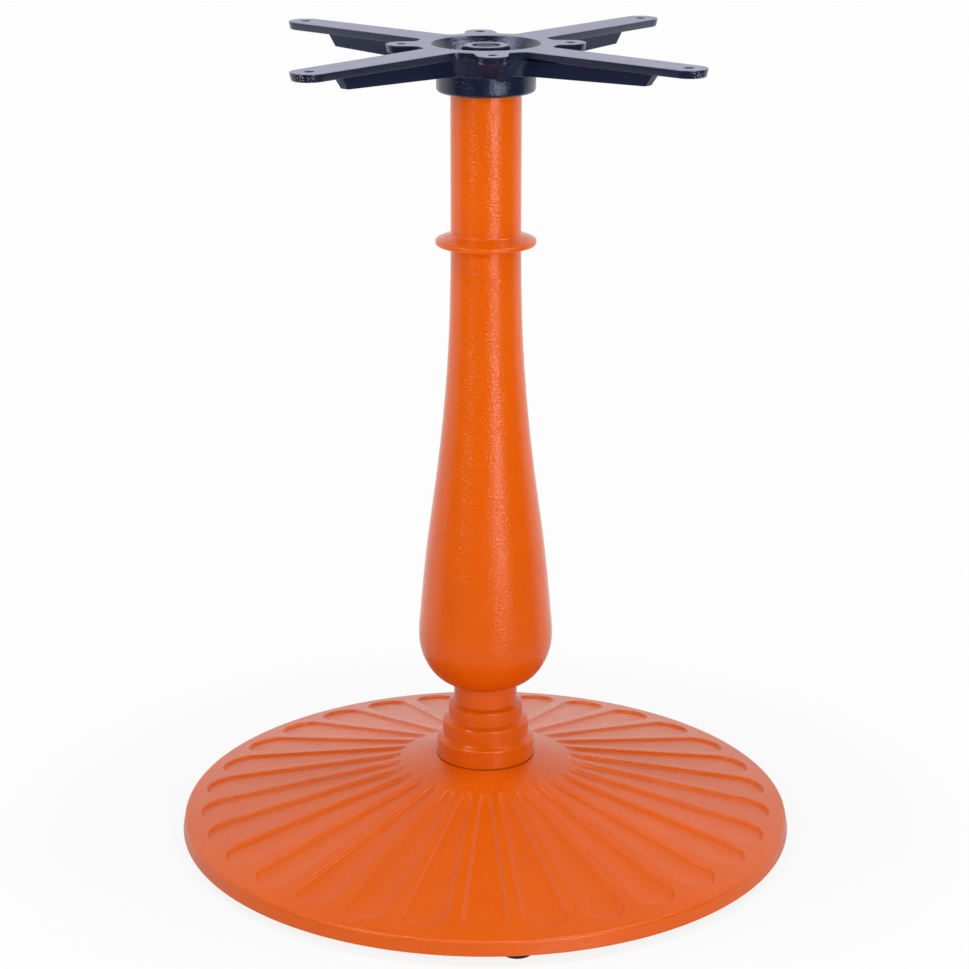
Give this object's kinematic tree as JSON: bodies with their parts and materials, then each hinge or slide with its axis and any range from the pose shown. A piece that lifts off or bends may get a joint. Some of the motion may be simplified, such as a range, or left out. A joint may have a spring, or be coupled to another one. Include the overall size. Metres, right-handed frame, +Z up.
{
  "type": "pedestal table base",
  "caption": "Round fluted cast-iron pedestal table base with a turned vase column, ring collar, ribbed top spider for bolting on a table top, and levelling feet.",
  "frame": {"origin": "on the floor under the column axis", "axes": "+Z up along the column, X and Y through the spider's lugs, long arms on the diagonals"},
  "size_m": [0.5548, 0.5548, 0.72],
  "materials": {
    "orange_powder_coat": "orange powder coat over cast iron, satin with orange peel",
    "black_paint": "black semi-gloss paint over cast iron, slightly blue",
    "blackened_steel": "blackened steel",
    "zinc_steel": "zinc-plated steel",
    "foot_plastic": "black moulded nylon"
  },
  "bodies": {
    "stand": {"base_plate": "orange_powder_coat", "column": "orange_powder_coat", "top_spider": "black_paint", "tie_rod": "blackened_steel", "top_washer": "blackened_steel", "top_nut": "blackened_steel", "bottom_washer": "zinc_steel", "bottom_nut": "zinc_steel"},
    "foot_right": {"foot_pad_right": "foot_plastic", "foot_stud_right": "zinc_steel"},
    "foot_back": {"foot_pad_back": "foot_plastic", "foot_stud_back": "zinc_steel"},
    "foot_left": {"foot_pad_left": "foot_plastic", "foot_stud_left": "zinc_steel"},
    "foot_front": {"foot_pad_front": "foot_plastic", "foot_stud_front": "zinc_steel"}
  },
  "joints": [
    {"name": "foot_right_height", "type": "slide", "parent": "stand", "child": "foot_right", "axis": [0, 0, -1], "range_m": [0, 0.006]},
    {"name": "foot_back_height", "type": "slide", "parent": "stand", "child": "foot_back", "axis": [0, 0, -1], "range_m": [0, 0.006]},
    {"name": "foot_left_height", "type": "slide", "parent": "stand", "child": "foot_left", "axis": [0, 0, -1], "range_m": [0, 0.006]},
    {"name": "foot_front_height", "type": "slide", "parent": "stand", "child": "foot_front", "axis": [0, 0, -1], "range_m": [0, 0.006]}
  ]
}
